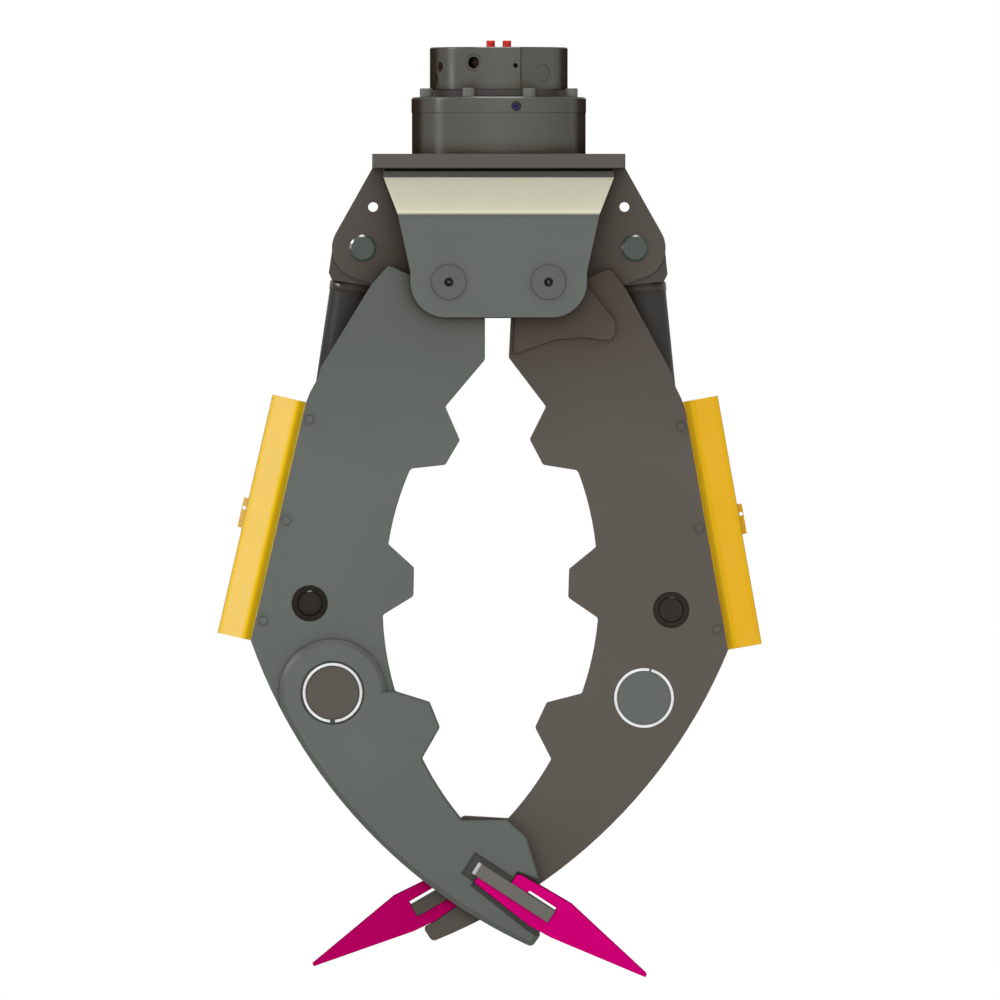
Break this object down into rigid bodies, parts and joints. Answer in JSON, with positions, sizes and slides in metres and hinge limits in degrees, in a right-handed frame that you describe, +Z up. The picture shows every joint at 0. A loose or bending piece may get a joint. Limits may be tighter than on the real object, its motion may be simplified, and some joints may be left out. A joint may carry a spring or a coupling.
{
  "type": "rock grapple",
  "caption": "Hydraulic rock grapple: plated claw arms with forked teeth under a slewing rotator, closed by guarded cylinders.",
  "frame": {"origin": "middle of the rotator's top face, where the machine carries the grapple", "axes": "+Z up along the slewing axis, -Y the front, and the arms open along X with the left arm at -X"},
  "size_m": [1.0055, 0.36, 1.7308],
  "materials": {
    "green_grey_paint": "satin",
    "brown_grey_paint": "satin",
    "rotator_paint": "satin",
    "yellow_paint": "satin",
    "magenta_paint": "satin",
    "black_paint": "satin",
    "red_cap": "matte",
    "blue_plug": "satin",
    "bright_steel": "satin",
    "machined_steel": "satin",
    "hard_chrome": "polished",
    "bronze": "satin",
    "cast_iron": "matte"
  },
  "bodies": {
    "rotator_top": {"rotator_manifold": "rotator_paint", "rotator_shaft": "machined_steel", "rotator_rotor": "machined_steel", "rotator_vanes": "machined_steel", "rotator_shaft_nut": "machined_steel", "red_port_caps": "red_cap", "rotator_port_plugs": "bright_steel"},
    "head": {"rotator_housing": "rotator_paint", "rotator_motor_ring": "cast_iron", "rotator_end_cover": "cast_iron", "rotator_bearings": "bronze", "blue_port_plug": "blue_plug", "rotator_flange_screws": "machined_steel", "head_plate": "brown_grey_paint", "front_ear": "green_grey_paint", "rear_ear": "green_grey_paint", "front_bridge_plate": "brown_grey_paint", "rear_bridge_plate": "brown_grey_paint", "head_gussets": "green_grey_paint", "pivot_pins": "machined_steel", "pivot_caps": "green_grey_paint", "cylinder_pins": "green_grey_paint"},
    "left_arm": {"left_front_side_plate": "green_grey_paint", "left_rear_side_plate": "green_grey_paint", "left_claw_doublers": "green_grey_paint", "left_hubs": "green_grey_paint", "left_hub_bushes": "bronze", "left_cross_shaft": "brown_grey_paint", "left_circlips": "bright_steel", "left_box_webs": "green_grey_paint", "left_rod_lugs": "green_grey_paint", "left_rod_pin": "machined_steel", "left_guard": "yellow_paint", "left_guard_bolts": "machined_steel", "left_lip_bars": "green_grey_paint", "left_teeth": "magenta_paint"},
    "left_cylinder": {"left_cylinder_base": "black_paint", "left_cylinder_barrel": "black_paint", "left_cylinder_gland": "black_paint"},
    "left_rod": {"left_cylinder_rod": "hard_chrome", "left_cylinder_piston": "cast_iron"},
    "right_arm": {"right_front_side_plate": "brown_grey_paint", "right_rear_side_plate": "brown_grey_paint", "right_claw_doublers": "brown_grey_paint", "right_hubs": "brown_grey_paint", "right_hub_bushes": "bronze", "right_cross_shaft": "green_grey_paint", "right_circlips": "bright_steel", "right_box_webs": "brown_grey_paint", "right_rod_lugs": "brown_grey_paint", "right_rod_pin": "machined_steel", "right_guard": "yellow_paint", "right_guard_bolts": "machined_steel", "right_lip_bars": "brown_grey_paint", "right_teeth": "magenta_paint"},
    "right_cylinder": {"right_cylinder_base": "black_paint", "right_cylinder_barrel": "black_paint", "right_cylinder_gland": "black_paint"},
    "right_rod": {"right_cylinder_rod": "hard_chrome", "right_cylinder_piston": "cast_iron"}
  },
  "joints": [
    {"name": "slew", "type": "hinge", "parent": "rotator_top", "child": "head", "pos_m": [0, 0, 0], "axis": [0, 0, 1], "continuous": true},
    {"name": "left_arm_swing", "type": "hinge", "parent": "head", "child": "left_arm", "pos_m": [-0.092, 0, -0.435], "axis": [0, 1, 0], "range_deg": [-6, 36]},
    {"name": "left_cylinder_swing", "type": "hinge", "parent": "head", "child": "left_cylinder", "pos_m": [-0.2515, 0, -0.3715], "axis": [0, 1, 0], "range_deg": [-6.11, 36.39]},
    {"name": "left_rod_slide", "type": "slide", "parent": "left_cylinder", "child": "left_rod", "axis": [-0.1469, 0, -0.9892], "range_m": [-0.1066, 0.0182]},
    {"name": "right_arm_swing", "type": "hinge", "parent": "head", "child": "right_arm", "pos_m": [0.092, 0, -0.435], "axis": [0, -1, 0], "range_deg": [-3.1, 38.9]},
    {"name": "right_cylinder_swing", "type": "hinge", "parent": "head", "child": "right_cylinder", "pos_m": [0.2515, 0, -0.3715], "axis": [0, -1, 0], "range_deg": [-3.15, 39.01]},
    {"name": "right_rod_slide", "type": "slide", "parent": "right_cylinder", "child": "right_rod", "axis": [0.0999, 0, -0.995], "range_m": [-0.1149, 0.0096]}
  ],
  "couplings": [
    {"joint": "left_cylinder_swing", "follows": "left_arm_swing", "ratio": 1.0083},
    {"joint": "left_rod_slide", "follows": "left_arm_swing", "m_per_rad": -0.16881},
    {"joint": "right_cylinder_swing", "follows": "right_arm_swing", "ratio": 1.0006},
    {"joint": "right_rod_slide", "follows": "right_arm_swing", "m_per_rad": -0.16846}
  ]
}
